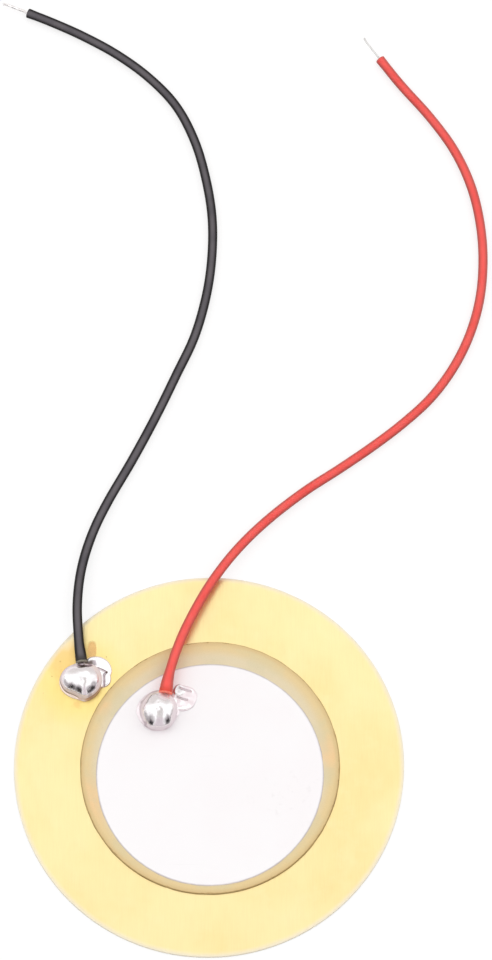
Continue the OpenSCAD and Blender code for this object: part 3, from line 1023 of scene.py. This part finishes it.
def neckRound(path, base, wide, drop):
    # solder drawn along the conductor up to the end of the insulation
    profile = [(0, -0.9), (wide, -0.9), (wide, -0.4), (wide - 0.01, -0.22), (wide * 0.85, -0.12),
               (0.17, -0.05), (0, -0.02)]
    bm = lathe(profile, beadSize["neckSteps"])
    for v in bm.verts:
        v.co = path.place(path.start + v.co.z, v.co.x, v.co.y) - base - Vector((0, 0, drop))
    return bm


def distanceToLine(x, y, line):
    best = math.inf
    for (ax, ay), (bx, by) in zip(line, line[1:]):
        length = math.hypot(bx - ax, by - ay)
        t = min(max(((x - ax) * (bx - ax) + (y - ay) * (by - ay)) / length ** 2, 0), 1)
        best = min(best, math.hypot(x - ax - t * (bx - ax), y - ay - t * (by - ay)))
    return best


def meltTogether(shapes, size):
    # one flowing skin out of overlapping closed shapes, with a flat underside at zero
    mesh = bpy.data.meshes.new("melt")
    whole = bmesh.new()
    for bm in shapes:
        joinInto(whole, bm)
    whole.to_mesh(mesh)
    whole.free()
    lump = bpy.data.objects.new("melt", mesh)
    scene.collection.objects.link(lump)
    skin = lump.modifiers.new("skin", "REMESH")
    skin.mode, skin.voxel_size = "VOXEL", size["voxel"]
    meltedAndLit = bmesh.new()
    meltedAndLit.from_mesh(lump.evaluated_get(bpy.context.evaluated_depsgraph_get()).to_mesh())
    bpy.data.objects.remove(lump)
    for _ in range(size["passes"]):
        bmesh.ops.smooth_vert(meltedAndLit, verts=meltedAndLit.verts, factor=0.5, use_axis_x=True,
                              use_axis_y=True, use_axis_z=True)
    for v in meltedAndLit.verts:
        v.co.z = 0 if v.co.z < size["flatBelow"] else v.co.z
    bmesh.ops.recalc_face_normals(meltedAndLit, faces=meltedAndLit.faces)
    meltedAndLit.normal_update()
    return meltedAndLit


def stainJoint(joint, look):
    # soot and painted shade under the overhang and in the creases, soot where the iron left it and a painted
    # shadow under the lead's end; bloom and a painted reflection on every steep face
    size = stainSize
    sootAndShade, bloomAndReflection, warm = (joint.verts.layers.float.new(name) for name in ("sootAndShade", "bloomAndReflection", "warm"))
    for v in joint.verts:
        x, y, z = v.co
        steepX, steepY, level = abs(v.normal.x), v.normal.y, v.normal.z
        ragged = size["ragged"] * noise.noise(v.co * 2.6)
        turn = math.degrees(math.atan2(y, x)) % 360
        back, nose, flange, slope = (band(*stainTurns[side], turn) for side in stainTurns)

        # painted shade under the overhang and on faces turned downwards, less at the front
        low = fade(*size["overhang"], z + ragged) * fade(0.1, 0.6, level)
        limit = look["sootAndShadeLimit"] + 0.38 * back
        dark = [look["sootAndShade"] * max(low * 0.6, fade(limit - 0.35, limit, level)) * (1 - 0.9 * nose)]
        # creases, scorches and burns: burnt flux with painted shade in the creases, a painted shadow arc
        # under the lead's end and shade painted over its neck
        for line, depth in look["creases"] if z < size["creasesTo"] else ():
            dark.append(depth * fade(0, size["creaseWidth"], distanceToLine(x, y, line) + ragged * 0.6))
        for (sx, sy), radius, depth in look["scorchesAndShade"]:
            away = math.hypot(x - sx, y - sy) + ragged * 2
            dark.append(depth * fade(radius * 0.5, radius * 1.3, away))
        for line, width, depth in look["burnsAndShadowLines"] if z > size["burnsAndShadowLinesFrom"] else ():
            dark.append(depth * fade(width * 0.4, width, distanceToLine(x, y, line) + ragged * 0.4))
        v[sootAndShade] = max(dark)

        v[warm] = max(look["flangeWarm"] * flange * fade(*size["flange"], z),
                      look["slopeWarm"] * slope * fade(*size["slope"], z + ragged))

        # bloom and painted reflection on the foot, the front, the dulled patch and every steep face
        flat = look["flatBloomAndReflection"] + 2 * ragged if z < size["flat"] else 0
        steep = 0.4 + 0.2 * smooth(0, 0.4, steepY) + 0.14 * smooth(0.55, 0.8, steepX)
        (dx, dy), radius, dull = look["dulled"]
        patch = dull * fade(radius * 0.6, radius, math.hypot(x - dx, y - dy) + ragged)
        front = 0.95 * nose if z < size["nose"] else 0
        v[bloomAndReflection] = max(fade(steep, steep + 0.35, level), flat, front, patch)


def addJoint(name, node, place, look, path):
    shapes = [beadBody(beadSize, look), wettedPart(footProfile, look["foot"]),
              wettedPart(skirtProfile, look["skirt"]), neckRound(path, place, *look["neck"])]
    shapes += [apronBlob(*apron, look["seed"] + i) for i, apron in enumerate(look["aprons"])]
    joint = meltTogether(shapes, beadSize)
    for v in joint.verts:
        if 0.03 < v.co.z < 0.5:
            away = min(distanceToLine(v.co.x, v.co.y, line) for line, _ in look["creases"])
            v.co.z = max(v.co.z - beadSize["creaseDepth"] * fade(0, beadSize["creaseWidth"], away), 0.02)
    joint.normal_update()
    stainJoint(joint, look)
    moveTo(joint, place)
    return makePiece(name, joint, "solder", (node,), sharp=60)


addJoint("negative_joint", "negative_solder", negativePlace, negativeBead, blackPath)
addJoint("positive_joint", "positive_solder", positivePlace, positiveBead, redPath)
print("solder joints made")


# ---- flux left round the negative joint

burntSpecks = [  # centre, radius, height, how dark
    ((2.37, 0.74), 0.1, 0.2, 1), ((-2.6, 0.4), 0.04, 0.02, 0.4), ((2.3, 2.2), 0.03, 0.15, 0.5),
]
filmProfile = [(0, 0.002), (1, 0.002), (0.99, 0.01), (0.9, 0.026), (0.75, 0.024), (0.4, 0.02), (0, 0.02)]
speckProfile = [(0.97, 0.5), (0.75, 0.85), (0.4, 0.97), (0, 1)]  # shares of the radius and height


def fluxFilmShape(look):
    film = lathe(filmProfile, look["steps"])
    for v in film.verts:
        angle, power = math.atan2(v.co.y, v.co.x), look["square"]
        corner = (abs(math.cos(angle)) ** power + abs(math.sin(angle)) ** power) ** (-1 / power)
        widen(v, corner * (1 + look["ragged"] * ripple(v, 1.6, 0)))
        v.co.x *= look["half"][0]
        v.co.y *= look["half"][1]
    turn = Matrix.Rotation(math.radians(look["turn"]), 3, "Z")
    bmesh.ops.rotate(film, matrix=turn, verts=film.verts)
    moveTo(film, (*look["centre"], 0))
    return film


def burntSpeck(centre, radius, height, dark):
    profile = [(0, 0.002), (radius, 0.002)] + [(radius * r, height * z) for r, z in speckProfile]
    speck = lathe(profile, fluxFilm["speckSteps"])
    burnt = speck.verts.layers.float.new("burnt")
    for v in speck.verts:
        v[burnt] = dark
        v.co *= 1 + 0.2 * noise.noise(v.co * 5 + Vector((*centre, 0)))
    moveTo(speck, (*centre, 0))
    return speck


def addFlux():
    whole = bmesh.new()
    for bm in [fluxFilmShape(fluxFilm)] + [burntSpeck(*speck) for speck in burntSpecks]:
        joinInto(whole, bm)
    moveTo(whole, negativePlace)
    makePiece("flux_residue", whole, "flux")


addFlux()
print("flux made")


# ---- stage: the floor, a hidden dome that the metal mirrors, and the light; sizes in metres

stageSet = {
    "floorSize": 3, "floorDrop": 0.00002, "floorShade": 0.32, "floorGlow": 0.72,
    "fade": (0.3, 0.8), "farGlow": 1.05,  # where the floor goes over into white, and its glow there
    "domeSize": 1.5, "domeSteps": (96, 60), "light": 1.3,
}
# areas painted inside the dome: (azimuth from the front towards the right, elevation), (half
# width, half height), softness, all in degrees, and shade
painted = [
    ((180, 22), (60, 26), 34, "#E8E2E0"),
    ((-76, 6), (16, 6), 14, "#A8A0A4"), ((76, 6), (16, 6), 14, "#A8A0A4"),
    ((-47, 18), (26, 19), 18, "#A39A9E"), ((47, 18), (26, 19), 18, "#A39A9E"),
    ((-43, 12), (17, 14), 6, "#120C10"), ((43, 12), (17, 14), 6, "#120C10"),
    ((0, 25), (15, 22), 8, "#E0D4DA"),
    ((0, 0), (110, 3), 3, "#7A7074"),
]
# a strip overhead, its sizes as shares of the height it hangs at
strip = {"half": 0.2, "front": -1.1, "back": 0.1, "soft": 0.12, "shade": "#DAD5D3"}


def stageFinish(name, shade, glow="#000000"):
    material = bpy.data.materials.new(name)
    material.use_nodes = True
    shader = material.node_tree.nodes["Principled BSDF"]
    shader.inputs["Base Color"].default_value = (shade, shade, shade, 1)
    shader.inputs["Roughness"].default_value = 1
    shader.inputs["Specular IOR Level"].default_value = 0
    shader.inputs["Emission Color"].default_value = tone(glow)
    shader.inputs["Emission Strength"].default_value = 1
    return material


def addStage(name, bm, material, hidden):
    thing = addObject(name, bm, material)
    thing.visible_camera = not hidden


def addFloor(look):
    material = stageFinish("floor", look["floorShade"], "#FFFFFF")
    tree = material.node_tree
    shader = tree.nodes["Principled BSDF"]
    rays = addNode(tree, "LightPath").outputs
    seen = calc(tree, "MAXIMUM", rays["Is Camera Ray"],
                calc(tree, "MAXIMUM", rays["Is Glossy Ray"], rays["Is Transmission Ray"]))
    # far off, the floor goes over into an even white, so no horizon shows
    where = addNode(tree, "TexCoord").outputs["Object"]
    far = remap(tree, flatDistance(tree, where, (0, 0, 0)), *look["fade"])
    glow = times(tree, seen, remap(tree, far, 0, 1, look["floorGlow"], look["farGlow"]))
    near = (*[look["floorShade"]] * 3, 1)
    feed(tree, shader, Emission_Strength=glow, Base_Color=blendColour(tree, far, near, (0, 0, 0, 1)))
    bm = bmesh.new()
    bmesh.ops.create_circle(bm, cap_ends=True, segments=64, radius=look["floorSize"])
    moveTo(bm, (0, 0, -look["floorDrop"]))
    addStage("floor", bm, material, False)


def cover(offset, half, soft):
    return fade(half - soft / 2, half + soft / 2, abs(offset))


def skyShade(direction):
    # the colour of the dome in a direction: white, with the painted areas over it
    shade = Vector((1, 1, 1)) * stageSet["light"]
    if direction.z > 0.3:
        across, along = direction.x / direction.z, direction.y / direction.z
        centre, half = (strip["front"] + strip["back"]) / 2, (strip["back"] - strip["front"]) / 2
        amount = cover(across, strip["half"], strip["soft"]) * cover(along - centre, half, strip["soft"])
        shade = shade.lerp(Vector(tone(strip["shade"])[:3]), amount)
    azimuth = math.degrees(math.atan2(direction.x, -direction.y))
    elevation = math.degrees(math.asin(min(direction.z, 1)))
    for (turn, rise), (wide, high), soft, colour in painted:
        apart = (azimuth - turn + 180) % 360 - 180
        amount = cover(apart, wide, soft) * cover(elevation - rise, high, soft)
        shade = shade.lerp(Vector(tone(colour)[:3]), amount)
    return shade


def addDome(look):
    bm = bmesh.new()
    across, upward = look["domeSteps"]
    bmesh.ops.create_uvsphere(bm, u_segments=across, v_segments=upward, radius=look["domeSize"])
    bmesh.ops.delete(bm, geom=[v for v in bm.verts if v.co.z < -0.001], context="VERTS")
    layer = bm.verts.layers.float_color.new("painted")
    for v in bm.verts:
        v[layer] = (*skyShade(v.co.normalized()), 1)
    material = stageFinish("dome", 0)
    shader = material.node_tree.nodes["Principled BSDF"]
    colour = addNode(material.node_tree, "Attribute", attribute_name="painted").outputs["Color"]
    feed(material.node_tree, shader, Emission_Color=colour)
    addStage("dome", bm, material, True)


addFloor(stageSet)
addDome(stageSet)

world = bpy.data.worlds.new("soft_light")
world.use_nodes = True
world.node_tree.nodes["Background"].inputs["Color"].default_value = (1, 1, 1, 1)
world.node_tree.nodes["Background"].inputs["Strength"].default_value = stageSet["light"]
scene.world = world
print("stage set")
